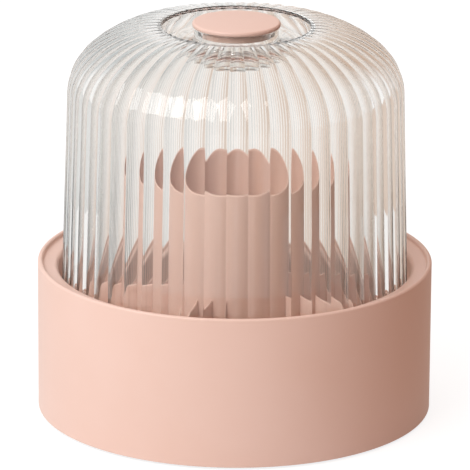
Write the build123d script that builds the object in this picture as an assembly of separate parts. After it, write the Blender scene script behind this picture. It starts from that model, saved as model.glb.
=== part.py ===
"""Round dressing-table organizer: a drum base, a tray that turns on a ball race,
a lift-out brush cup and a fluted clear dome with a knob.  Millimetres, +Z up.
The origin is on the table, under the middle of the drum."""

from build123d import *
import math
import os

# ---------------------------------------------------------------- drum
drum_radius = 115.0          # outside of the drum
drum_height = 88.7           # bottom edge to the top of the lip
floor_gap = 1.5              # drum's bottom edge above the table, on its feet
drum_wall = 2.5
lip_width = 3.0
lip_round = 1.3
ledge_drop = 2.6             # lip down to the outer edge of the ledge
ledge_dish = 1.0             # how much lower the ledge is at the opening
ledge_width = 9.0            # lip to opening
ledge_round = 2.5
ledge_wall = 2.4
dome_seat_depth = 17.2       # lip down to the shelf that the dome stands on
seat_width = 5.5
skirt_wall = 2.0

# ---------------------------------------------------------------- base plate and feet
plate_inset = 2.5            # plate's underside above the drum's bottom edge
plate_thick = 2.5
plate_fit = 0.3              # plate's rim to the drum wall
skirt_gap = 0.2              # drum's skirt above the plate
screw_count = 6
screw_boss_radius = 4.0
screw_boss_height = 24.0
screw_web = 2.0
plate_hole_radius = 1.7
plate_screw_radius = 1.25
plate_screw_length = 12.0
plate_screw_head_radius = 2.8
plate_screw_head = 1.6
pilot_fit = 0.05             # round a screw in its moulded hole
foot_count = 6
foot_inset = 26.5            # middle of a foot to the inside of the drum's wall
foot_radius = 8.0
foot_recess = 0.8
foot_fit = 0.2
foot_round = 1.0

# ---------------------------------------------------------------- ball race
race_circle = 70.0           # radius that the balls run on
race_width = 12.0
race_thick = 2.0
race_gap = 3.0               # between the two races
race_fit = 0.2
race_lip = 1.5
race_lip_height = 1.2
ball_radius = 2.4
ball_count = 12
groove_fit = 0.1             # ball to groove
retainer_width = 9.0
retainer_thick = 1.4
pocket_fit = 0.15

# ---------------------------------------------------------------- pivot
pivot_radius = 3.0
bush_fit = 0.06              # running fit of the pivot screw in its bush
bush_wall = 2.4
bush_flange_width = 3.2
bush_flange = 1.2
hub_boss_height = 4.0        # base plate's centre boss above the plate
hub_boss_radius = 12.0
hub_pocket = 1.5             # recess for the screw's head
hub_pocket_radius = 9.5
axial_play = 0.3
washer_radius = 8.0
washer_thick = 0.7
pivot_head_radius = 5.0
pivot_head = 1.8
pivot_thread_radius = 2.0
pivot_thread_length = 5.5
hub_rib_count = 6
hub_rib_height = 2.6
hub_rib_wall = 1.6

# ---------------------------------------------------------------- tray
tray_gap = 2.5               # tray to the drum's skirt
tray_floor = 2.4
tray_wall = 2.0
tray_wall_height = 30.0      # ring wall above the tray's floor
edge_round = 0.7
tray_boss_radius = 7.0
tray_boss_cover = 1.4        # plastic left over the end of the pivot screw
divider_count = 5
divider_start = 178.0        # degrees, the divider on the left of the picture
divider_wall = 2.0
divider_inner_height = 70.0  # above the tray's floor, beside the cup
divider_outer_height = 68.2
divider_end = 6.0            # free end of a divider to the inside of the ring wall
divider_corner = 12.0
sleeve_height = 24.0         # ring that holds the foot of the cup
sleeve_wall = 2.0

# ---------------------------------------------------------------- brush cup
cup_top_radius = 46.0
cup_foot_radius = 45.0
cup_height = 128.3
cup_wall = 2.0
cup_floor = 2.4
cup_foot_ring = 6.5          # underside of the cup's floor above its foot
cup_fit = 0.5                # cup to sleeve and dividers
cup_seat = 0.3
cup_rim_round = 0.9

# ---------------------------------------------------------------- dome
dome_gap = 2.0               # dome's foot to the drum's opening
dome_lean = 3.5              # how far the wall leans in from foot to shoulder
dome_wall_height = 117.6     # foot to shoulder
shoulder_height = 40.0       # shoulder to the highest ring
shoulder_radius = 33.0       # of the tighter, outer bend
dome_wall = 2.6
crest_radius = 43.0          # edge of the finger well
crest_land = 0.8             # edge of the well to the highest ring
well_depth = 9.2             # highest ring down to the well's floor
crest_drop = 0.4             # straight stretch of the well's side under the crest's wall
neck_radius = 24.5
neck_wall = 2.0
neck_below = 11.4            # neck's lower end under the well's floor
neck_floor = 2.4
neck_top_drop = 0.6          # neck's top under the highest ring
flute_count = 50
flute_depth = 1.1            # at the foot; shallower where the flutes draw together
flute_fade = 1.5
flute_land = 0.34            # share of each flute's width that its flat bottom takes
flute_start = 0.7            # degrees, one of the sharp ridges between the flutes
bend_steps = 7               # facets round the outer bend
crown_steps = 6              # facets over the crown
dome_seat = 0.3

# ---------------------------------------------------------------- knob
knob_radius = 25.5
knob_thick = 2.7
knob_top_round = 1.4
knob_bottom_round = 0.5
plug_fit = 0.05
plug_length = 4.6
plug_wall = 2.2

# ---------------------------------------------------------------- levels and radii that follow
drum_bottom = floor_gap
lip_top = drum_bottom + drum_height
opening_radius = drum_radius - lip_width - ledge_width
drum_inside = drum_radius - drum_wall
seat_level = lip_top - dome_seat_depth
skirt_radius = opening_radius - seat_width
plate_bottom = drum_bottom + plate_inset
plate_top = plate_bottom + plate_thick
skirt_bottom = plate_top + skirt_gap
screw_circle = (drum_inside + skirt_radius + skirt_wall) / 2
foot_circle = drum_inside - foot_inset
lower_race_top = plate_top + race_thick
ball_level = lower_race_top + race_gap / 2
upper_race_bottom = lower_race_top + race_gap
tray_bottom = upper_race_bottom + race_thick
tray_top = tray_bottom + tray_floor
tray_radius = skirt_radius - tray_gap
race_inner = race_circle - race_width / 2
race_outer = race_circle + race_width / 2
bush_bottom = plate_bottom + hub_pocket
bush_top = plate_top + hub_boss_height
bush_inner = pivot_radius + bush_fit
bush_outer = bush_inner + bush_wall
tray_boss_bottom = bush_top + bush_flange + axial_play
tray_boss_top = tray_boss_bottom + pivot_thread_length + pilot_fit + tray_boss_cover
cup_foot = tray_top + cup_seat
cup_top = cup_foot + cup_height
cup_lean = (cup_top_radius - cup_foot_radius) / cup_height
dome_foot = seat_level + dome_seat
foot_ring_radius = opening_radius - dome_gap
shoulder_level = dome_foot + dome_wall_height
dome_top = shoulder_level + shoulder_height
crest_top_radius = crest_radius + crest_land
crest_depth = flute_depth * (crest_radius / foot_ring_radius) ** flute_fade
well_level = dome_top - well_depth
bowl_level = dome_top - dome_wall - crest_drop
bowl_radius = bowl_level - well_level
neck_top = dome_top - neck_top_drop
neck_bottom = well_level - neck_below
knob_top = neck_top + knob_thick
plug_radius = neck_radius - neck_wall - plug_fit


def ring(inner, outer, bottom, top):
    """Flat ring or tube about the Z axis."""
    tube = Cylinder(outer, top - bottom, align=(Align.CENTER, Align.CENTER, Align.MIN))
    if inner > 0:
        tube -= Cylinder(inner, top - bottom, align=(Align.CENTER, Align.CENTER, Align.MIN))
    return Pos(0, 0, bottom) * tube


def turned(outline):
    """Solid of revolution from a closed outline drawn in the XZ plane."""
    return revolve(make_face(Plane.XZ * outline), Axis.Z)


def turned_points(points, rounds=()):
    """Solid of revolution from corners; rounds lists (corner number, radius)."""
    face = make_face(Plane.XZ * Polyline(*points, close=True))
    for corner, radius in rounds:
        x, z = points[corner]
        vertex = face.vertices().sort_by_distance((x, 0, z))[0]
        face = fillet(vertex, radius)
    return revolve(face, Axis.Z)


def around(count, radius, shape, start=0.0):
    """Copies of a shape on a circle about the Z axis."""
    step = 360 / count
    return [Rot(0, 0, start + step * turn) * Pos(radius, 0, 0) * shape for turn in range(count)]


# ---------------------------------------------------------------- drum and its underside
def drum_shell():
    """One moulding: outer wall, rolled lip, dished ledge, seat for the dome and inner skirt."""
    ledge_outer = lip_top - ledge_drop
    ledge_inner = ledge_outer - ledge_dish
    skirt_outer = skirt_radius + skirt_wall
    throat_outer = opening_radius + skirt_wall
    corners = [
        (drum_radius, drum_bottom),
        (drum_radius, lip_top),
        (drum_radius - lip_width, lip_top),
        (drum_radius - lip_width, ledge_outer),
        (opening_radius, ledge_inner),
        (opening_radius, seat_level),
        (skirt_radius, seat_level),
        (skirt_radius, skirt_bottom),
        (skirt_outer, skirt_bottom),
        (skirt_outer, seat_level - skirt_wall),
        (throat_outer, seat_level - skirt_wall),
        (throat_outer, ledge_inner - ledge_wall),
        (drum_inside, ledge_inner - ledge_wall),
        (drum_inside, drum_bottom),
    ]
    shell = turned_points(corners, [(1, lip_round), (2, lip_round), (4, ledge_round)])
    boss_top = plate_top + screw_boss_height
    web_length = drum_inside - skirt_outer + skirt_wall
    stand = (Align.CENTER, Align.CENTER, Align.MIN)
    boss = Cylinder(screw_boss_radius, boss_top - skirt_bottom, align=stand)
    boss += Box(web_length, screw_web, boss_top - skirt_bottom, align=stand)
    boss -= Cylinder(plate_screw_radius + pilot_fit, plate_screw_length, align=stand)
    shell += around(screw_count, screw_circle, Pos(0, 0, skirt_bottom) * boss)
    return shell


def base_plate():
    """Inset floor plate with foot recesses, screw holes, race seat and a ribbed centre boss."""
    plate = ring(0, drum_inside - plate_fit, plate_bottom, plate_top)
    plate += ring(race_outer + race_fit, race_outer + race_fit + race_lip,
                  plate_top, plate_top + race_lip_height)
    plate += ring(0, hub_boss_radius, plate_top, bush_top)
    rib_start = hub_boss_radius - hub_rib_wall
    rib_length = race_inner - race_fit - rib_start
    rib = Box(rib_length, hub_rib_wall, hub_rib_height, align=(Align.MIN, Align.CENTER, Align.MIN))
    plate += around(hub_rib_count, rib_start, Pos(0, 0, plate_top) * rib)
    plate -= ring(0, bush_outer, plate_bottom, bush_top)
    plate -= ring(0, hub_pocket_radius, plate_bottom, bush_bottom)
    hole = ring(0, plate_hole_radius, plate_bottom, plate_top)
    plate -= around(screw_count, screw_circle, hole)
    recess = ring(0, foot_radius + foot_fit, plate_bottom, plate_bottom + foot_recess)
    plate -= around(foot_count, foot_circle, recess, start=180 / foot_count)
    return plate


def plate_screws():
    """Self-tapping screws, up through the plate into the drum's bosses; threads left plain."""
    head = ring(0, plate_screw_head_radius, plate_bottom - plate_screw_head, plate_bottom)
    shank_top = skirt_bottom + plate_screw_length - pilot_fit
    shank = ring(0, plate_screw_radius, plate_bottom, shank_top)
    return Compound(children=around(screw_count, screw_circle, head + shank))


def foot_pad():
    """Rubber pad glued in a recess under the plate."""
    pad = ring(0, foot_radius, 0, plate_bottom + foot_recess)
    return fillet(pad.edges().sort_by(Axis.Z)[0], foot_round)


# ---------------------------------------------------------------- ball race and pivot
def race(bottom):
    """Flat ring with a round groove for the balls."""
    blank = ring(race_inner, race_outer, bottom, bottom + race_thick)
    groove = Pos(0, 0, ball_level) * Torus(race_circle, ball_radius + groove_fit)
    return blank - groove


def ball_retainer():
    """Thin cage ring that keeps the balls apart."""
    low = ball_level - retainer_thick / 2
    high = ball_level + retainer_thick / 2
    cage = ring(race_circle - retainer_width / 2, race_circle + retainer_width / 2, low, high)
    pocket = ring(0, ball_radius + pocket_fit, low, high)
    return cage - around(ball_count, race_circle, pocket)


def bearing_balls():
    """Steel balls between the two races."""
    ball = Pos(0, 0, ball_level) * Sphere(ball_radius)
    return Compound(children=around(ball_count, race_circle, ball))


def pivot_bush():
    """Flanged bush pressed in the base plate's centre boss."""
    sleeve = ring(bush_inner, bush_outer - pilot_fit, bush_bottom, bush_top)
    flange = ring(bush_inner, bush_outer + bush_flange_width, bush_top, bush_top + bush_flange)
    return sleeve + flange


def pivot_washer():
    """Washer between the pivot screw's head and the bush."""
    top = bush_bottom - axial_play
    return ring(pivot_radius + pilot_fit, washer_radius, top - washer_thick, top)


def pivot_screw():
    """Shoulder screw that holds the tray down and turns with it."""
    head_top = bush_bottom - axial_play - washer_thick
    head = ring(0, pivot_head_radius, head_top - pivot_head, head_top)
    shoulder = ring(0, pivot_radius, head_top, tray_boss_bottom)
    thread = ring(0, pivot_thread_radius, tray_boss_bottom, tray_boss_bottom + pivot_thread_length)
    return head + shoulder + thread


# ---------------------------------------------------------------- tray and cup
def cup_radius(level):
    """Outside radius of the cup at a level."""
    return cup_foot_radius + cup_lean * (level - cup_foot)


def divider():
    """Radial wall with a sloping top and a free, rounded outer end, drawn along +X."""
    sleeve_top = tray_top + sleeve_height
    ring_top = tray_top + tray_wall_height
    root = cup_radius(sleeve_top) + cup_fit + sleeve_wall / 2
    ring_middle = tray_radius - tray_wall / 2
    free_end = tray_radius - tray_wall - divider_end
    inner_top = tray_top + divider_inner_height
    corners = [
        (root, tray_top - tray_floor / 2),
        (ring_middle, tray_top - tray_floor / 2),
        (ring_middle, ring_top - edge_round),
        (free_end, ring_top - edge_round),
        (free_end, tray_top + divider_outer_height),
        (cup_radius(inner_top) + cup_fit, inner_top),
        (cup_radius(sleeve_top) + cup_fit, sleeve_top - edge_round),
        (root, sleeve_top - edge_round),
    ]
    face = make_face(Plane.XZ * Polyline(*corners, close=True))
    x, z = corners[4]
    face = fillet(face.vertices().sort_by_distance((x, 0, z))[0], divider_corner)
    return extrude(face, divider_wall / 2, both=True)


def tray():
    """Turntable moulding: floor, ring wall, cup sleeve, dividers and centre boss."""
    ring_top = tray_top + tray_wall_height
    sleeve_top = tray_top + sleeve_height
    sleeve_inner = cup_radius(sleeve_top) + cup_fit
    body = ring(0, tray_radius, tray_bottom, tray_top)
    wall = ring(tray_radius - tray_wall, tray_radius, tray_bottom, ring_top)
    body += fillet(wall.edges().group_by(Axis.Z)[-1], edge_round)
    sleeve = ring(sleeve_inner, sleeve_inner + sleeve_wall, tray_bottom, sleeve_top)
    body += fillet(sleeve.edges().group_by(Axis.Z)[-1], edge_round)
    body += around(divider_count, 0, divider(), start=divider_start)
    body += ring(race_outer + race_fit, race_outer + race_fit + race_lip,
                 tray_bottom - race_lip_height, tray_bottom)
    body += ring(0, tray_boss_radius, tray_boss_bottom, tray_boss_top)
    thread_end = tray_boss_bottom + pivot_thread_length + pilot_fit
    body -= ring(0, pivot_thread_radius + pilot_fit, tray_boss_bottom, thread_end)
    return body


def brush_cup():
    """Tall smooth cup with a raised floor, a foot ring and a rounded rim."""
    floor_under = cup_foot + cup_foot_ring
    floor_top = floor_under + cup_floor
    corners = [
        (0, floor_under),
        (cup_radius(floor_under) - cup_wall, floor_under),
        (cup_foot_radius - cup_wall, cup_foot),
        (cup_foot_radius, cup_foot),
        (cup_top_radius, cup_top),
        (cup_top_radius - cup_wall, cup_top),
        (cup_radius(floor_top) - cup_wall, floor_top),
        (0, floor_top),
    ]
    return turned_points(corners, [(4, cup_rim_round), (5, cup_rim_round)])


# ---------------------------------------------------------------- dome and knob
lean_angle = math.atan(dome_lean / dome_wall_height)
bend_r = foot_ring_radius - dome_lean - shoulder_radius * math.cos(lean_angle)
bend_z = shoulder_level - shoulder_radius * math.sin(lean_angle)
bend_rise = dome_top - bend_z
bend_run = bend_r - crest_top_radius
crown_radius = (bend_run**2 + bend_rise**2 - shoulder_radius**2) / (2 * (bend_rise - shoulder_radius))
crown_z = dome_top - crown_radius
join_angle = math.atan2(bend_z - crown_z, bend_run)


def polar(centre, radius, angle):
    """Point at an angle, in radians above the horizontal, round a centre in the section."""
    return (centre[0] + radius * math.cos(angle), centre[1] + radius * math.sin(angle))


def arc(centre, radius, first, last):
    """Arc in the section from one angle to another."""
    middle = (first + last) / 2
    return ThreePointArc(polar(centre, radius, first), polar(centre, radius, middle),
                         polar(centre, radius, last))


def fluted_ring(ridge, bottom):
    """Closed outline round the dome, from the (radius, level) of its ridges and flute bottoms."""
    pitch = 2 * math.pi / flute_count
    half_land = flute_land * pitch / 2
    corners = []
    for flute in range(flute_count):
        start = math.radians(flute_start) + pitch * flute
        for angle, (radius, level) in (
            (start, ridge),
            (start + pitch / 2 - half_land, bottom),
            (start + pitch / 2 + half_land, bottom),
        ):
            corners.append((radius * math.cos(angle), radius * math.sin(angle), level))
    return Wire.make_polygon([Vector(*corner) for corner in corners], close=True)


def flute_station(centre, radius, angle):
    """Ridge and flute bottom at an angle round a centre in the section."""
    ridge = polar(centre, radius, angle)
    depth = flute_depth * (ridge[0] / foot_ring_radius) ** flute_fade
    return ridge, polar(centre, radius - depth, angle)


def fluted_form():
    """Outside of the dome: a ruled loft up the wall, round both bends and past the crest."""
    stations = [((foot_ring_radius, dome_foot), (foot_ring_radius - flute_depth, dome_foot))]
    for step in range(bend_steps + 1):
        angle = lean_angle + (join_angle - lean_angle) * step / bend_steps
        stations.append(flute_station((bend_r, bend_z), shoulder_radius, angle))
    for step in range(1, crown_steps + 1):
        angle = join_angle + (math.pi / 2 - join_angle) * step / crown_steps
        stations.append(flute_station((crest_top_radius, crown_z), crown_radius, angle))
    inner = crest_radius - dome_wall
    cap = dome_top - dome_wall
    stations.append(((inner, dome_top), (inner, dome_top - crest_depth)))
    stations.append(((inner, cap), (inner, cap)))
    return Solid.make_loft([fluted_ring(ridge, bottom) for ridge, bottom in stations], ruled=True)


def dome_hollow():
    """Inside of the dome, one wall thickness in from the ridges, round the well and neck."""
    bend = (bend_r, bend_z)
    crown = (crest_top_radius, crown_z)
    bowl = (crest_radius - bowl_radius, bowl_level)
    bowl_outer = bowl_radius + dome_wall
    side = polar(bend, shoulder_radius - dome_wall, lean_angle)
    start = (foot_ring_radius - dome_wall / math.cos(lean_angle), dome_foot)
    top = polar(crown, crown_radius - dome_wall, math.pi / 2)
    outline = Curve() + [
        Line(start, side),
        arc(bend, shoulder_radius - dome_wall, lean_angle, join_angle),
        arc(crown, crown_radius - dome_wall, join_angle, math.pi / 2),
        Line(top, (crest_radius + dome_wall, bowl_level)),
        arc(bowl, bowl_outer, 0, -math.pi / 2),
        Polyline((bowl[0], well_level - dome_wall), (neck_radius, well_level - dome_wall),
                 (neck_radius, neck_bottom), (0, neck_bottom), (0, dome_foot), start),
    ]
    return turned(outline)


def finger_well():
    """Space over the well's floor and round the neck."""
    bowl = (crest_radius - bowl_radius, bowl_level)
    outline = Curve() + [
        Polyline((bowl[0], well_level), (neck_radius, well_level), (neck_radius, neck_top),
                 (0, neck_top), (0, dome_top + flute_depth), (crest_radius, dome_top + flute_depth),
                 (crest_radius, bowl_level)),
        arc(bowl, bowl_radius, 0, -math.pi / 2),
    ]
    return turned(outline)


def dome_cover():
    """Clear dome whose flutes run over the shoulder and scallop the edge of the finger well."""
    neck_inner = neck_radius - neck_wall
    neck = ring(neck_inner, neck_radius, neck_bottom + neck_floor, neck_top)
    bore = ring(0, neck_inner, neck_bottom + neck_floor, neck_top)
    return Part() + fluted_form() - dome_hollow() - finger_well() + neck - bore


def lid_knob():
    """Disc with a hollow plug that is pressed into the dome's neck."""
    corners = [
        (0, knob_top),
        (knob_radius, knob_top),
        (knob_radius, neck_top),
        (plug_radius, neck_top),
        (plug_radius, neck_top - plug_length),
        (plug_radius - plug_wall, neck_top - plug_length),
        (plug_radius - plug_wall, neck_top),
        (0, neck_top),
    ]
    return turned_points(corners, [(1, knob_top_round), (2, knob_bottom_round)])


def save(name, shape):
    """Write one sub-part."""
    export_step(shape, f"parts/{name}.step")


os.makedirs("parts", exist_ok=True)
save("drum_shell", drum_shell())
save("base_plate", base_plate())
save("plate_screws", plate_screws())
for number, pad in enumerate(around(foot_count, foot_circle, foot_pad(), start=180 / foot_count)):
    save(f"foot_pad_{number + 1}", pad)
save("lower_race", race(plate_top))
save("upper_race", race(upper_race_bottom))
save("ball_retainer", ball_retainer())
save("bearing_balls", bearing_balls())
save("pivot_bush", pivot_bush())
save("pivot_washer", pivot_washer())
save("pivot_screw", pivot_screw())
save("tray", tray())
save("brush_cup", brush_cup())
save("dome_cover", dome_cover())
save("lid_knob", lid_knob())
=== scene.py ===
"""Round dressing-table organizer: pink drum, turning tray, brush cup and fluted clear dome."""

import bmesh
import bpy
import math
from mathutils import Matrix, Vector


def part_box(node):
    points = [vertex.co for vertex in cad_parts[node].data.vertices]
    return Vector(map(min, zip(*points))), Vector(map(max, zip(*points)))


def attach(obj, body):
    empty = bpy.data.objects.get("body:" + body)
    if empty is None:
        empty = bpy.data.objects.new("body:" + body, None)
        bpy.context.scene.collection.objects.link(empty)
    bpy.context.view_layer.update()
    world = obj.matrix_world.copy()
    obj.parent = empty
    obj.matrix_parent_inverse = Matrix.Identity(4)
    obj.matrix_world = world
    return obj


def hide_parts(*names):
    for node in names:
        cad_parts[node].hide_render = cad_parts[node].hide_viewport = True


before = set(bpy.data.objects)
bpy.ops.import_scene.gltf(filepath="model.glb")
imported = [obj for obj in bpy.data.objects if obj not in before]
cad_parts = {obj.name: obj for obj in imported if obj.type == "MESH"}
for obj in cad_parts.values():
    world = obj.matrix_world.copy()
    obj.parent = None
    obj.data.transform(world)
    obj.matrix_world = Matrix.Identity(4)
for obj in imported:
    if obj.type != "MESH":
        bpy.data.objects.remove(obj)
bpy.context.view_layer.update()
scene = bpy.context.scene
mm = 0.001

# ---------------------------------------------------------------- studio
# A white sweep and one large soft lamp in front on the left, as for a catalogue picture.  The room
# lights in white from the left and in a warm brown from the right, which gives the pink its deep
# right-hand side.  Gloss and glass also see the panels, which are listed as (place, colour).
room_light_level = 0.6
room_light_overhead = 1.3
room_white_until = -0.35
room_brown_from = 0.7
room_panel_reach = 1.0
room_panels = ((0.15, "#ffffff"), (0.28, "#c6cbcc"), (0.43, "#d8dcdc"), (0.475, "#ffffff"),
               (0.515, "#ffffff"), (0.56, "#dccbbd"), (0.74, "#cbb19d"), (0.88, "#ffffff"))
floor_half_side = 6.0
floor_white_until = 0.0
floor_brown_from = 0.3
floor_glow = 0.85
floor_panel_reach = 0.5
floor_panels = ((0.0, "#ced3d4"), (0.30, "#d8dcdd"), (0.39, "#ebeeee"), (0.44, "#ffffff"),
                (0.55, "#ffffff"), (0.60, "#e9ded5"), (0.68, "#d8c5b6"), (1.0, "#ccb6a4"))
key_side = 1.6
key_power = 25
key_place = (-1.2, -1.25, 1.6)
key_target = Vector((0, 0, 0.1))
before_bounce = 0.5         # a diffuse depth under this is 0: no matt surface came between
colour_a, colour_b = 6, 7   # the mix node's inputs for colours
colour_out = 2              # and its output


def linear(code):
    """Linear colour, with alpha, from an sRGB hex code."""
    parts = [int(code[place:place + 2], 16) / 255 for place in (1, 3, 5)]
    return (*[p / 12.92 if p <= 0.04045 else ((p + 0.055) / 1.055) ** 2.4 for p in parts], 1.0)


def add(tree, kind, inputs=None, **settings):
    """A node with its settings; inputs gives a value or another node's output for each socket."""
    node = tree.nodes.new(kind)
    for name, value in settings.items():
        setattr(node, name, value)
    for name, value in (inputs or {}).items():
        if isinstance(value, bpy.types.NodeSocket):
            tree.links.new(value, node.inputs[name])
        else:
            node.inputs[name].default_value = value
    return node


def blank_tree(holder):
    """The emptied node tree of a material or a world."""
    holder.use_nodes = True
    holder.node_tree.nodes.clear()
    return holder.node_tree


def left_to_right(tree, vector, start, end, left, right):
    """Colour that changes softly along X, from left at start to right at end."""
    split = add(tree, "ShaderNodeSeparateXYZ", {0: vector})
    across = add(tree, "ShaderNodeMapRange", {"Value": split.outputs["X"], "From Min": start,
                                              "From Max": end}, interpolation_type="SMOOTHSTEP")
    return add(tree, "ShaderNodeMix", {"Factor": across.outputs["Result"], colour_a: linear(left),
                                       colour_b: linear(right)},
               data_type="RGBA").outputs[colour_out]


def seen_share(tree, light_path):
    """One for rays that look at a surface, straight, in gloss or through glass, and zero for rays
    that only gather its light."""
    gloss = add(tree, "ShaderNodeMath", {0: light_path.outputs["Is Glossy Ray"],
                                         1: light_path.outputs["Is Transmission Ray"]},
                operation="MAXIMUM")
    any_look = add(tree, "ShaderNodeMath", {0: light_path.outputs["Is Camera Ray"],
                                            1: gloss.outputs[0]}, operation="MAXIMUM")
    direct = add(tree, "ShaderNodeMath", {0: light_path.outputs["Diffuse Depth"],
                                          1: before_bounce}, operation="LESS_THAN")
    return add(tree, "ShaderNodeMath", {0: any_look.outputs[0], 1: direct.outputs[0]},
               operation="MULTIPLY").outputs[0]


def backdrop(tree, light_path, across, reach, stops):
    """White to the camera.  In gloss and through glass it has panels at stops over -reach to reach:
    a cool one on the left and a warm one on the right, which draw the flutes in grey and beige."""
    share = add(tree, "ShaderNodeMapRange", {"Value": across, "From Min": -reach,
                                             "From Max": reach})
    panels = add(tree, "ShaderNodeValToRGB", {"Fac": share.outputs["Result"]})
    elements = panels.color_ramp.elements
    elements[0].position, elements[1].position = stops[0][0], stops[-1][0]
    elements[0].color, elements[1].color = linear(stops[0][1]), linear(stops[-1][1])
    for where, code in stops[1:-1]:
        elements.new(where).color = linear(code)
    return add(tree, "ShaderNodeMix", {"Factor": light_path.outputs["Is Camera Ray"],
                                       colour_a: panels.outputs["Color"],
                                       colour_b: linear("#ffffff")},
               data_type="RGBA").outputs[colour_out]


room = bpy.data.worlds.new("bright_room")
scene.world = room
tree = blank_tree(room)
direction = add(tree, "ShaderNodeTexCoord").outputs["Generated"]
light_path = add(tree, "ShaderNodeLightPath")
split = add(tree, "ShaderNodeSeparateXYZ", {0: direction})
overhead = add(tree, "ShaderNodeMapRange", {"Value": split.outputs["Z"],
                                            "From Min": 0.0, "From Max": 1.0,
                                            "To Min": room_light_level,
                                            "To Max": room_light_overhead})
fill = add(tree, "ShaderNodeBackground", {
    "Color": left_to_right(tree, direction, room_white_until, room_brown_from,
                           "#fdfeff", "#9a6645"),
    "Strength": overhead.outputs["Result"]})
white = add(tree, "ShaderNodeBackground", {
    "Color": backdrop(tree, light_path, split.outputs["X"], room_panel_reach, room_panels),
    "Strength": 1.0})
mixed = add(tree, "ShaderNodeMixShader", {0: seen_share(tree, light_path), 1: fill.outputs[0],
                                          2: white.outputs[0]})
add(tree, "ShaderNodeOutputWorld", {"Surface": mixed.outputs[0]})

key_data = bpy.data.lights.new("soft_key", "AREA")
key_data.shape = "RECTANGLE"
key_data.size = key_side
key_data.size_y = key_side
key_data.energy = key_power
key = bpy.data.objects.new("soft_key", key_data)
key.location = key_place
key.rotation_euler = (key_target - key.location).to_track_quat("-Z", "Y").to_euler()
scene.collection.objects.link(key)

bm = bmesh.new()
bmesh.ops.create_grid(bm, x_segments=1, y_segments=1, size=floor_half_side)
floor_mesh = bpy.data.meshes.new("floor")
bm.to_mesh(floor_mesh)
bm.free()
floor = bpy.data.objects.new("floor", floor_mesh)
scene.collection.objects.link(floor)
paper = bpy.data.materials.new("matt_white_paper")
tree = blank_tree(paper)
place = add(tree, "ShaderNodeTexCoord").outputs["Object"]
light_path = add(tree, "ShaderNodeLightPath")
matt = add(tree, "ShaderNodeBsdfDiffuse", {
    "Color": left_to_right(tree, place, floor_white_until, floor_brown_from,
                           "#e2e2e2", "#9c7860")})
shadow_share = add(tree, "ShaderNodeBsdfDiffuse", {"Color": linear("#8c8c8c")})
split = add(tree, "ShaderNodeSeparateXYZ", {0: place})
glow = add(tree, "ShaderNodeEmission", {
    "Color": backdrop(tree, light_path, split.outputs["X"], floor_panel_reach, floor_panels),
    "Strength": floor_glow})
lifted = add(tree, "ShaderNodeAddShader", {0: shadow_share.outputs[0], 1: glow.outputs[0]})
mixed = add(tree, "ShaderNodeMixShader", {0: seen_share(tree, light_path), 1: matt.outputs[0],
                                          2: lifted.outputs[0]})
add(tree, "ShaderNodeOutputMaterial", {"Surface": mixed.outputs[0]})
floor.data.materials.append(paper)

scene.view_settings.view_transform = "Standard"
scene.cycles.max_bounces = 32
scene.cycles.glossy_bounces = 16
scene.cycles.transmission_bounces = 24

# ---------------------------------------------------------------- camera
# A long lens a good way off, looking down a little at the front of the dome.
camera_distance = 3000 * mm
camera_height_angle = math.radians(17.5)
camera_roll = math.radians(0.4)
aim = Vector((0, 0, 104 * mm))
camera_data = bpy.data.cameras.new("camera")
camera_data.sensor_width = 36
camera_data.lens = 394
camera = bpy.data.objects.new("camera", camera_data)
back = Vector((0, -math.cos(camera_height_angle), math.sin(camera_height_angle)))
camera.location = aim + back * camera_distance
turn = (-back).to_track_quat("-Z", "Y").to_matrix() @ Matrix.Rotation(camera_roll, 3, "Z")
camera.rotation_euler = turn.to_euler()
camera_data.clip_end = 20
scene.collection.objects.link(camera)
scene.camera = camera

# ---------------------------------------------------------------- drum
# The round base: one injection moulding in pink ABS, satin from a spark-eroded tool.  Its lip is
# rolled over, the ledge inside it dishes down to the opening, and a shelf carries the dome.
drum_low, drum_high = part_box("drum_shell")
drum_radius = drum_high.y
lip_width = 3.0 * mm
lip_round = 1.4 * mm
ledge_drop = 2.6 * mm
ledge_dish = 1.0 * mm
ledge_width = 9.0 * mm
ledge_round = 2.5 * mm
ledge_wall = 2.4 * mm
drum_wall = 2.5 * mm
seat_depth = 17.2 * mm
seat_width = 5.5 * mm
skirt_wall = 2.0 * mm
skirt_foot = 6.7 * mm
drum_foot_round = 0.4 * mm
ledge_corner = 0.9 * mm
seat_corner = 0.6 * mm
round_segments = 6
seam_gap = 0.002 * mm               # points nearer than this are one
sharp_angle = math.radians(35)      # edges that bend more than this stay sharp


def section(bm, corners):
    """Closed outline from (radius, level, how far the rounding starts from the corner)."""
    dots = [bm.verts.new((radius, 0, level)) for radius, level, _ in corners]
    for here, there in zip(dots, dots[1:] + dots[:1]):
        if here.co.x > 0 or there.co.x > 0:
            bm.edges.new((here, there))
    for dot, (_, _, rounding) in zip(dots, corners):
        if rounding:
            bmesh.ops.bevel(bm, geom=[dot], affect="VERTICES", offset=rounding,
                            offset_type="OFFSET", segments=round_segments, profile=0.5,
                            material=-1)


def spin_sector(bm, sectors, steps):
    """Turns the section through one of the equal sectors that make up the whole turn."""
    bmesh.ops.spin(bm, geom=bm.verts[:] + bm.edges[:], cent=(0, 0, 0), axis=(0, 0, 1),
                   angle=2 * math.pi / sectors, steps=steps)


def repeat_sector(bm, sectors):
    """Copies one sector all round the Z axis and closes the seams and the poles."""
    bmesh.ops.spin(bm, geom=bm.verts[:] + bm.edges[:] + bm.faces[:], cent=(0, 0, 0),
                   axis=(0, 0, 1), angle=2 * math.pi * (sectors - 1) / sectors,
                   steps=sectors - 1, use_duplicate=True)
    bmesh.ops.remove_doubles(bm, verts=bm.verts[:], dist=seam_gap)
    bmesh.ops.dissolve_degenerate(bm, edges=bm.edges[:], dist=seam_gap)
    bmesh.ops.recalc_face_normals(bm, faces=bm.faces[:])


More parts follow.
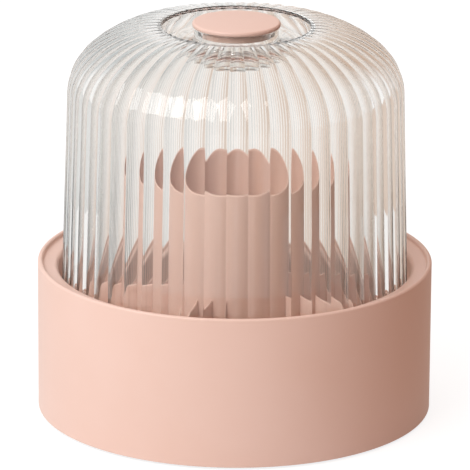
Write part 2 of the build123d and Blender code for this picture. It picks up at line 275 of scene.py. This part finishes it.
def spin_round(bm, sectors=16, steps=16):
    """Solid of revolution from the section, made of equal sectors."""
    spin_sector(bm, sectors, steps)
    repeat_sector(bm, sectors)


def piece(name, bm, material, body, slot, *nodes):
    """Finished object that rides on a body and stands for CAD nodes."""
    mesh = bpy.data.meshes.new(name)
    bm.to_mesh(mesh)
    bm.free()
    mesh.shade_smooth()
    mesh.set_sharp_from_angle(angle=sharp_angle)
    mesh.materials.append(material)
    made = bpy.data.objects.new(name, mesh)
    scene.collection.objects.link(made)
    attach(made, body)
    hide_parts(*nodes)
    return made


# ABS, injection moulded in a spark-eroded tool: a soft sheen, a very fine even grain, and a faint
# cloudiness in the colour.  The grain is drawn about five times coarser than the real 0.15 mm.
pink_colour = linear("#e8c3b3")
pink_pale = linear("#eccbbe")
moulded_grain = 0.8 * mm
cloud_size = 45 * mm
pink_abs = bpy.data.materials.new("pink_abs_moulded")
tree = blank_tree(pink_abs)
place = add(tree, "ShaderNodeTexCoord")
cloud = add(tree, "ShaderNodeTexNoise", {"Vector": place.outputs["Object"],
                                         "Scale": 1 / cloud_size,
                                         "Detail": 3.0, "Roughness": 0.5})
colour = add(tree, "ShaderNodeMix", {"Factor": cloud.outputs["Fac"], colour_a: pink_colour,
                                     colour_b: pink_pale}, data_type="RGBA")
grain = add(tree, "ShaderNodeTexNoise", {"Vector": place.outputs["Object"],
                                         "Scale": 1 / moulded_grain,
                                         "Detail": 2.0, "Roughness": 0.6})
sheen = add(tree, "ShaderNodeMapRange", {"Value": cloud.outputs["Fac"],
                                         "To Min": 0.4, "To Max": 0.5})
bump = add(tree, "ShaderNodeBump", {"Height": grain.outputs["Fac"], "Strength": 0.12,
                                    "Distance": 0.05 * mm})
satin = add(tree, "ShaderNodeBsdfPrincipled", {"Base Color": colour.outputs[colour_out],
                                               "IOR": 1.53,
                                               "Roughness": sheen.outputs["Result"],
                                               "Normal": bump.outputs["Normal"]})
add(tree, "ShaderNodeOutputMaterial", {"Surface": satin.outputs[0]})

opening = drum_radius - lip_width - ledge_width
ledge_outer = drum_high.z - ledge_drop
ledge_inner = ledge_outer - ledge_dish
seat_level = drum_high.z - seat_depth
skirt_radius = opening - seat_width
bm = bmesh.new()
section(bm, [
    (drum_radius, drum_low.z, drum_foot_round),
    (drum_radius, drum_high.z, lip_round),
    (drum_radius - lip_width, drum_high.z, lip_round),
    (drum_radius - lip_width, ledge_outer, ledge_corner),
    (opening, ledge_inner, ledge_round),
    (opening, seat_level, seat_corner),
    (skirt_radius, seat_level, seat_corner),
    (skirt_radius, skirt_foot, 0),
    (skirt_radius + skirt_wall, skirt_foot, 0),
    (skirt_radius + skirt_wall, seat_level - skirt_wall, 0),
    (opening + skirt_wall, seat_level - skirt_wall, 0),
    (opening + skirt_wall, ledge_inner - ledge_wall, 0),
    (drum_radius - drum_wall, ledge_inner - ledge_wall, 0),
    (drum_radius - drum_wall, drum_low.z, drum_foot_round),
])
spin_round(bm)
piece("drum_moulding", bm, pink_abs, "base", "pink_abs", "drum_shell")

# ---------------------------------------------------------------- tray
# The turntable: floor, ring wall, sleeve for the cup and five free-ended dividers, all one pink
# moulding that is screwed to the pivot from below.
tray_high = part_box("tray")[1]
tray_radius = tray_high.y
tray_bottom = 13.5 * mm
tray_floor = 2.4 * mm
tray_top = tray_bottom + tray_floor
tray_wall = 2.0 * mm
ring_height = 30.0 * mm
ring_top = tray_top + ring_height
sleeve_height = 24.0 * mm
sleeve_top = tray_top + sleeve_height
edge_round = 0.7 * mm
floor_round = 1.2 * mm
cup_low, cup_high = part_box("brush_cup")
cup_top_radius = cup_high.y
cup_taper = 1.0 * mm
cup_foot_radius = cup_top_radius - cup_taper
cup_lean = (cup_top_radius - cup_foot_radius) / (cup_high.z - cup_low.z)
cup_fit = 0.5 * mm
sleeve_radius = cup_foot_radius + cup_lean * (sleeve_top - cup_low.z) + cup_fit
divider_count = 5
divider_start = math.radians(178)
divider_inner_height = 70.0 * mm
divider_inner_top = tray_top + divider_inner_height
divider_outer_height = 68.2 * mm
divider_outer_top = tray_top + divider_outer_height
divider_rim_gap = 6.0 * mm
divider_end = tray_radius - tray_wall - divider_rim_gap
divider_corner = 12.0 * mm
divider_wall = 2.0 * mm
divider_bite = 1.0 * mm             # how far a divider runs into the floor and the walls
divider_inner_round = 1.0 * mm
divider_edge = 0.6 * mm
tray_foot_round = 0.4 * mm
corner_segments = 8
rim_segments = 3
rim_bend = 1.0                      # radians between two faces that meet in a rim
same_side = 1e-6                    # an edge along one side stays within this in Y

bm = bmesh.new()
section(bm, [
    (0, tray_bottom, 0),
    (tray_radius, tray_bottom, tray_foot_round),
    (tray_radius, ring_top, edge_round),
    (tray_radius - tray_wall, ring_top, edge_round),
    (tray_radius - tray_wall, tray_top, floor_round),
    (sleeve_radius + tray_wall, tray_top, floor_round),
    (sleeve_radius + tray_wall, sleeve_top, edge_round),
    (sleeve_radius, sleeve_top, edge_round),
    (sleeve_radius, tray_top, floor_round),
    (0, tray_top, 0),
])
spin_round(bm)


def plate(bm, corners, thickness, edge):
    """Upright plate about the XZ plane from (x, z, rounding), with its edges softened.

    Returns the plate's points.
    """
    before = set(bm.verts)
    dots = [bm.verts.new((x, -thickness / 2, z)) for x, z, _ in corners]
    bm.faces.new(dots)
    for dot, (_, _, rounding) in zip(dots, corners):
        if rounding:
            bmesh.ops.bevel(bm, geom=[dot], affect="VERTICES", offset=rounding,
                            segments=corner_segments, profile=0.5, material=-1)
    faces = [f for f in bm.faces if all(v not in before for v in f.verts)]
    grown = bmesh.ops.extrude_face_region(bm, geom=faces, use_keep_orig=True)
    moved = [item for item in grown["geom"] if isinstance(item, bmesh.types.BMVert)]
    bmesh.ops.translate(bm, verts=moved, vec=(0, thickness, 0))
    faces = [f for f in bm.faces if all(v not in before for v in f.verts)]
    bmesh.ops.recalc_face_normals(bm, faces=faces)
    rims = [e for e in {e for f in faces for e in f.edges}
            if len(e.link_faces) == 2 and abs(e.calc_face_angle(0)) > rim_bend
            and abs(e.verts[0].co.y - e.verts[1].co.y) < same_side]
    bmesh.ops.bevel(bm, geom=rims, affect="EDGES", offset=edge, segments=rim_segments,
                    profile=0.5, material=-1)
    return [v for v in bm.verts if v not in before]


for turn_number in range(divider_count):
    root = sleeve_radius + divider_bite
    cup_side = cup_foot_radius + cup_lean * (divider_inner_top - cup_low.z) + cup_fit
    points = plate(bm, [
        (root, tray_bottom + divider_bite, 0),
        (tray_radius - divider_bite, tray_bottom + divider_bite, 0),
        (tray_radius - divider_bite, ring_top - edge_round, 0),
        (divider_end, ring_top - edge_round, 0),
        (divider_end, divider_outer_top, divider_corner),
        (cup_side, divider_inner_top, divider_inner_round),
        (sleeve_radius, sleeve_top - edge_round, 0),
        (root, sleeve_top - edge_round, 0),
    ], divider_wall, divider_edge)
    around = Matrix.Rotation(divider_start + 2 * math.pi * turn_number / divider_count, 3, "Z")
    bmesh.ops.rotate(bm, verts=points, cent=(0, 0, 0), matrix=around)
piece("tray_moulding", bm, pink_abs, "rotor", "pink_abs", "tray")

# ---------------------------------------------------------------- brush cup
# A tall smooth cup that lifts out of the sleeve: thin pink walls with a rounded rim, and a floor
# raised above the foot ring.
cup_wall = 2.0 * mm
cup_foot_hollow = 6.5 * mm
cup_floor_under = cup_low.z + cup_foot_hollow
cup_floor = 2.4 * mm
cup_floor_top = cup_floor_under + cup_floor
rim_round = 0.95 * mm
cup_foot_round = 0.5 * mm
cup_floor_round = 2.5 * mm
inside_foot = cup_foot_radius + cup_lean * (cup_floor_top - cup_low.z) - cup_wall
bm = bmesh.new()
section(bm, [
    (0, cup_floor_under, 0),
    (inside_foot, cup_floor_under, floor_round),
    (cup_foot_radius - cup_wall, cup_low.z, cup_foot_round),
    (cup_foot_radius, cup_low.z, cup_foot_round),
    (cup_top_radius, cup_high.z, rim_round),
    (cup_top_radius - cup_wall, cup_high.z, rim_round),
    (inside_foot, cup_floor_top, cup_floor_round),
    (0, cup_floor_top, 0),
])
spin_round(bm)
piece("cup_moulding", bm, pink_abs, "cup", "pink_abs", "brush_cup")

# ---------------------------------------------------------------- dome
# The cover: water-clear polystyrene, moulded thin with fifty hollow flutes outside and a
# smooth inside.  The flutes scallop the edge of the finger well, and a closed neck holds the knob.
dome_low, dome_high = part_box("dome_cover")
foot_ring = 101 * mm
dome_lean = 3.5 * mm
wall_height = 117.6 * mm
shoulder_radius = 33.0 * mm
dome_wall = 2.6 * mm
crest_radius = 43.0 * mm
crest_land = 0.8 * mm
crest_round = 0.6 * mm
well_depth = 9.2 * mm
well_straight = 0.4 * mm     # how far the well's side runs straight below the wall's thickness
neck_radius = 24.5 * mm
neck_wall = 2.0 * mm
neck_fillet = 1.2 * mm
dome_edge = 0.5 * mm
neck_below = 11.4 * mm
neck_floor = 2.4 * mm
neck_top_drop = 0.6 * mm
flute_count = 50
flute_depth = 1.1 * mm       # at the foot
flute_fade = 1.5             # how fast the flutes grow shallow where they draw together
flute_start = math.radians(0.7)
ridge_round = 0.05 * mm
well_edge_reach = 0.1 * mm   # the flutes take in points up to this far inside the well's side
axis_reach = mm              # points nearer the axis than this stay there
edge_steps = 3
shoulder_steps = 14
crown_steps = 16
crest_steps = 5
well_steps = 10
fillet_steps = 4
# Where the columns of one flute lie across it: close together beside the sharp ridges.
flute_columns = (0, 0.02, 0.05, 0.12, 0.22, 0.35, 0.5, 0.65, 0.78, 0.88, 0.95, 0.98, 1)

lean_angle = math.atan(dome_lean / wall_height)
shoulder_level = dome_low.z + wall_height
bend = (foot_ring - dome_lean - shoulder_radius * math.cos(lean_angle),
        shoulder_level - shoulder_radius * math.sin(lean_angle))
bend_rise = dome_high.z - bend[1]
crest_top_radius = crest_radius + crest_land
bend_run = bend[0] - crest_top_radius
crown_radius = ((bend_run ** 2 + bend_rise ** 2 - shoulder_radius ** 2)
                / (2 * (bend_rise - shoulder_radius)))
crown = (crest_top_radius, dome_high.z - crown_radius)
join_angle = math.atan2(bend[1] - crown[1], bend_run)
well_level = dome_high.z - well_depth
well_side = dome_high.z - dome_wall - well_straight
well_round = well_side - well_level
neck_top = dome_high.z - neck_top_drop
neck_inner = neck_radius - neck_wall
neck_foot = well_level - neck_below


def line(bm, dot, radius, level):
    """Draws the section on in a straight line and returns its new end."""
    end = bm.verts.new((radius, 0, level))
    bm.edges.new((dot, end))
    return end


def curve(bm, dot, centre, degrees, steps):
    """Draws the section on in an arc about (radius, level), counted from outwards to upwards."""
    drawn = bmesh.ops.spin(bm, geom=[dot], cent=(centre[0], 0, centre[1]), axis=(0, -1, 0),
                           angle=math.radians(degrees), steps=steps)
    return next(item for item in drawn["geom_last"] if isinstance(item, bmesh.types.BMVert))


def draw_outside(bm):
    """Outer half of the section: foot, wall, shoulder, crown, crest, finger well and neck bore."""
    start = bm.verts.new((foot_ring - dome_edge, 0, dome_low.z))
    dot = curve(bm, start, (foot_ring - dome_edge, dome_low.z + dome_edge), 90, edge_steps)
    dot = line(bm, dot, bend[0] + shoulder_radius * math.cos(lean_angle),
               bend[1] + shoulder_radius * math.sin(lean_angle))
    dot = curve(bm, dot, bend, math.degrees(join_angle - lean_angle), shoulder_steps)
    dot = curve(bm, dot, crown, 90 - math.degrees(join_angle), crown_steps)
    dot = line(bm, dot, crest_radius + crest_round, dome_high.z)
    dot = curve(bm, dot, (crest_radius + crest_round, dome_high.z - crest_round), 90,
                crest_steps)
    dot = line(bm, dot, crest_radius, well_side)
    dot = curve(bm, dot, (crest_radius - well_round, well_side), -90, well_steps)
    dot = line(bm, dot, neck_radius + neck_fillet, well_level)
    dot = curve(bm, dot, (neck_radius + neck_fillet, well_level + neck_fillet), -90,
                fillet_steps)
    dot = line(bm, dot, neck_radius, neck_top - dome_edge)
    dot = curve(bm, dot, (neck_radius - dome_edge, neck_top - dome_edge), 90, edge_steps)
    dot = line(bm, dot, neck_inner + dome_edge, neck_top)
    dot = curve(bm, dot, (neck_inner + dome_edge, neck_top - dome_edge), 90, edge_steps)
    dot = line(bm, dot, neck_inner, neck_foot + neck_floor + neck_fillet)
    dot = curve(bm, dot, (neck_inner - neck_fillet, neck_foot + neck_floor + neck_fillet), -90,
                fillet_steps)
    line(bm, dot, 0, neck_foot + neck_floor)
    return start


def draw_inside(bm, start):
    """Inner half of the section, from under the neck back to the foot."""
    under = well_level - dome_wall
    inner_foot = foot_ring - dome_wall / math.cos(lean_angle)
    dot = bm.verts.new((0, 0, neck_foot))
    dot = line(bm, dot, neck_radius - neck_fillet, neck_foot)
    dot = curve(bm, dot, (neck_radius - neck_fillet, neck_foot + neck_fillet), 90, fillet_steps)
    dot = line(bm, dot, neck_radius, under - neck_fillet)
    dot = curve(bm, dot, (neck_radius + neck_fillet, under - neck_fillet), -90,
                fillet_steps)
    dot = line(bm, dot, crest_radius - well_round, under)
    dot = curve(bm, dot, (crest_radius - well_round, well_side), 90, well_steps)
    inside = crown_radius - dome_wall
    angle = math.acos((crest_radius + dome_wall - crown[0]) / inside)
    dot = line(bm, dot, crest_radius + dome_wall, crown[1] + inside * math.sin(angle))
    dot = curve(bm, dot, crown, math.degrees(join_angle - angle), crown_steps)
    dot = curve(bm, dot, bend, math.degrees(lean_angle - join_angle), shoulder_steps)
    dot = line(bm, dot, inner_foot, dome_low.z + dome_edge)
    dot = curve(bm, dot, (inner_foot + dome_edge, dome_low.z + dome_edge), 90, edge_steps)
    bm.edges.new((dot, start))


def flute(point, outside):
    """Moves a point into its column across the flute and, on the outside, in by its depth."""
    pitch = 2 * math.pi / flute_count
    last = len(flute_columns) - 1
    across = flute_columns[round(math.atan2(point.co.y, point.co.x) / pitch * last)]
    angle = flute_start + pitch * across
    radius = math.hypot(point.co.x, point.co.y)
    level = point.co.z
    if outside and radius > crest_radius - well_edge_reach:
        depth = 4 * across * (1 - across) * flute_depth * (radius / foot_ring) ** flute_fade
        depth = math.hypot(depth, ridge_round) - ridge_round
        if level < bend[1]:
            radius -= depth
        elif radius > crest_top_radius:
            radius -= depth * math.hypot(point.normal.x, point.normal.y)
            level -= depth * abs(point.normal.z)
        else:
            fade_height = dome_high.z - crest_round - well_side
            level -= depth * min(1, max(0, (level - well_side) / fade_height))
    point.co = (radius * math.cos(angle), radius * math.sin(angle), level)


# Polystyrene, moulded in a polished tool: water-clear and glossy.  It lets lamps through to what
# stands inside, with a trace of grey in the thick places.
clear_styrene = bpy.data.materials.new("clear_polystyrene_polished")
tree = blank_tree(clear_styrene)
light_path = add(tree, "ShaderNodeLightPath")
clear = add(tree, "ShaderNodeBsdfPrincipled", {"Base Color": linear("#f9f8f6"), "IOR": 1.59,
                                               "Roughness": 0.02,
                                               "Transmission Weight": 1.0})
open_to_lamps = add(tree, "ShaderNodeBsdfTransparent", {"Color": linear("#e4e0dc")})
mixed = add(tree, "ShaderNodeMixShader", {0: light_path.outputs["Is Shadow Ray"],
                                          1: clear.outputs[0], 2: open_to_lamps.outputs[0]})
add(tree, "ShaderNodeOutputMaterial", {"Surface": mixed.outputs[0]})

bm = bmesh.new()
is_outside = bm.verts.layers.int.new("is_outside")
start = draw_outside(bm)
for point in bm.verts:
    point[is_outside] = 1
draw_inside(bm, start)
spin_sector(bm, flute_count, len(flute_columns) - 1)
bm.normal_update()
for point in bm.verts:
    if math.hypot(point.co.x, point.co.y) > axis_reach:
        flute(point, point[is_outside] == 1)
bm.verts.layers.int.remove(is_outside)
repeat_sector(bm, flute_count)
piece("dome_moulding", bm, clear_styrene, "cover", "clear_polystyrene", "dome_cover")

# ---------------------------------------------------------------- knob
# A pink ABS disc with a soft edge, whose hollow plug is pressed into the top of the dome's neck.
knob_low, knob_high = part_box("lid_knob")
knob_radius = knob_high.y
knob_round = 1.4 * mm
knob_under_round = 0.7 * mm
plug_fit = 0.05 * mm
plug_radius = neck_inner - plug_fit
plug_wall = 2.2 * mm
plug_foot_round = 0.5 * mm
plug_inner_round = 0.6 * mm
bm = bmesh.new()
section(bm, [
    (0, knob_high.z, 0),
    (knob_radius, knob_high.z, knob_round),
    (knob_radius, neck_top, knob_under_round),
    (plug_radius, neck_top, 0),
    (plug_radius, knob_low.z, plug_foot_round),
    (plug_radius - plug_wall, knob_low.z, plug_foot_round),
    (plug_radius - plug_wall, neck_top, plug_inner_round),
    (0, neck_top, 0),
])
spin_round(bm, steps=10)
piece("knob_moulding", bm, pink_abs, "cover", "pink_abs", "lid_knob")


def finish_nodes(material, *names):
    """Gives CAD nodes that are shown as they are a material."""
    for name in names:
        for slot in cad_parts[name].material_slots:
            slot.material = material


# ---------------------------------------------------------------- base plate and screws
# The pink floor of the drum with its race seat and hub, held by six zinc-plated screws.
finish_nodes(pink_abs, "base_plate")

# Steel screws, zinc plated and clear passivated: bright, slightly blue and finely clouded.
plating_cloud = 2 * mm
zinc = bpy.data.materials.new("zinc_plated_steel")
tree = blank_tree(zinc)
place = add(tree, "ShaderNodeTexCoord")
cloud = add(tree, "ShaderNodeTexNoise", {"Vector": place.outputs["Object"],
                                         "Scale": 1 / plating_cloud, "Detail": 3.0})
colour = add(tree, "ShaderNodeMix", {"Factor": cloud.outputs["Fac"], colour_a: linear("#bfc3c9"),
                                     colour_b: linear("#d3d2cc")}, data_type="RGBA")
sheen = add(tree, "ShaderNodeMapRange", {"Value": cloud.outputs["Fac"],
                                         "To Min": 0.25, "To Max": 0.42})
plated = add(tree, "ShaderNodeBsdfPrincipled", {"Base Color": colour.outputs[colour_out],
                                                "Metallic": 1.0,
                                                "Roughness": sheen.outputs["Result"]})
add(tree, "ShaderNodeOutputMaterial", {"Surface": plated.outputs[0]})
finish_nodes(zinc, "plate_screws", "pivot_screw", "pivot_washer")

# ---------------------------------------------------------------- feet
# Six pale grey thermoplastic rubber pads, glued in the plate's recesses: matt with a fine grain.
foot_count = 6
rubber_grain = 0.6 * mm
rubber = bpy.data.materials.new("grey_rubber_moulded")
tree = blank_tree(rubber)
place = add(tree, "ShaderNodeTexCoord")
grain = add(tree, "ShaderNodeTexNoise", {"Vector": place.outputs["Object"],
                                         "Scale": 1 / rubber_grain, "Detail": 3.0})
colour = add(tree, "ShaderNodeMix", {"Factor": grain.outputs["Fac"], colour_a: linear("#c2beba"),
                                     colour_b: linear("#d0ccc8")}, data_type="RGBA")
bump = add(tree, "ShaderNodeBump", {"Height": grain.outputs["Fac"], "Strength": 0.3,
                                    "Distance": 0.1 * mm})
soft = add(tree, "ShaderNodeBsdfPrincipled", {"Base Color": colour.outputs[colour_out],
                                              "Roughness": 0.75, "IOR": 1.5,
                                              "Normal": bump.outputs["Normal"]})
add(tree, "ShaderNodeOutputMaterial", {"Surface": soft.outputs[0]})
finish_nodes(rubber, *[f"foot_pad_{number}" for number in range(1, foot_count + 1)])

# ---------------------------------------------------------------- ball race and pivot
# Natural acetal rings turned on a lathe, with a cage of steel balls between them, and the flanged
# bush of the pivot.  The rings show fine turning marks about the axis.
turning_pitch = 0.5 * mm
wave_length = 0.314         # of the wave texture at a scale of 1
acetal = bpy.data.materials.new("natural_acetal_turned")
tree = blank_tree(acetal)
place = add(tree, "ShaderNodeTexCoord")
marks = add(tree, "ShaderNodeTexWave", {"Vector": place.outputs["Object"],
                                        "Scale": wave_length / turning_pitch,
                                        "Distortion": 0.0}, wave_type="RINGS", rings_direction="Z")
colour = add(tree, "ShaderNodeMix", {"Factor": marks.outputs["Fac"], colour_a: linear("#efece4"),
                                     colour_b: linear("#f4f1ea")}, data_type="RGBA")
bump = add(tree, "ShaderNodeBump", {"Height": marks.outputs["Fac"], "Strength": 0.15,
                                    "Distance": 0.02 * mm})
slippery = add(tree, "ShaderNodeBsdfPrincipled", {"Base Color": colour.outputs[colour_out],
                                                  "Roughness": 0.35, "IOR": 1.48,
                                                  "Normal": bump.outputs["Normal"]})
add(tree, "ShaderNodeOutputMaterial", {"Surface": slippery.outputs[0]})
finish_nodes(acetal, "lower_race", "upper_race", "ball_retainer", "pivot_bush")

# Bearing balls: ground and polished chrome steel, close to a mirror.
polish_cloud = 1.2 * mm
chrome_steel = bpy.data.materials.new("polished_bearing_steel")
tree = blank_tree(chrome_steel)
place = add(tree, "ShaderNodeTexCoord")
cloud = add(tree, "ShaderNodeTexNoise", {"Vector": place.outputs["Object"],
                                         "Scale": 1 / polish_cloud})
sheen = add(tree, "ShaderNodeMapRange", {"Value": cloud.outputs["Fac"],
                                         "To Min": 0.06, "To Max": 0.12})
polished = add(tree, "ShaderNodeBsdfPrincipled", {"Base Color": linear("#d6d7d9"),
                                                  "Metallic": 1.0,
                                                  "Roughness": sheen.outputs["Result"]})
add(tree, "ShaderNodeOutputMaterial", {"Surface": polished.outputs[0]})
finish_nodes(chrome_steel, "bearing_balls")
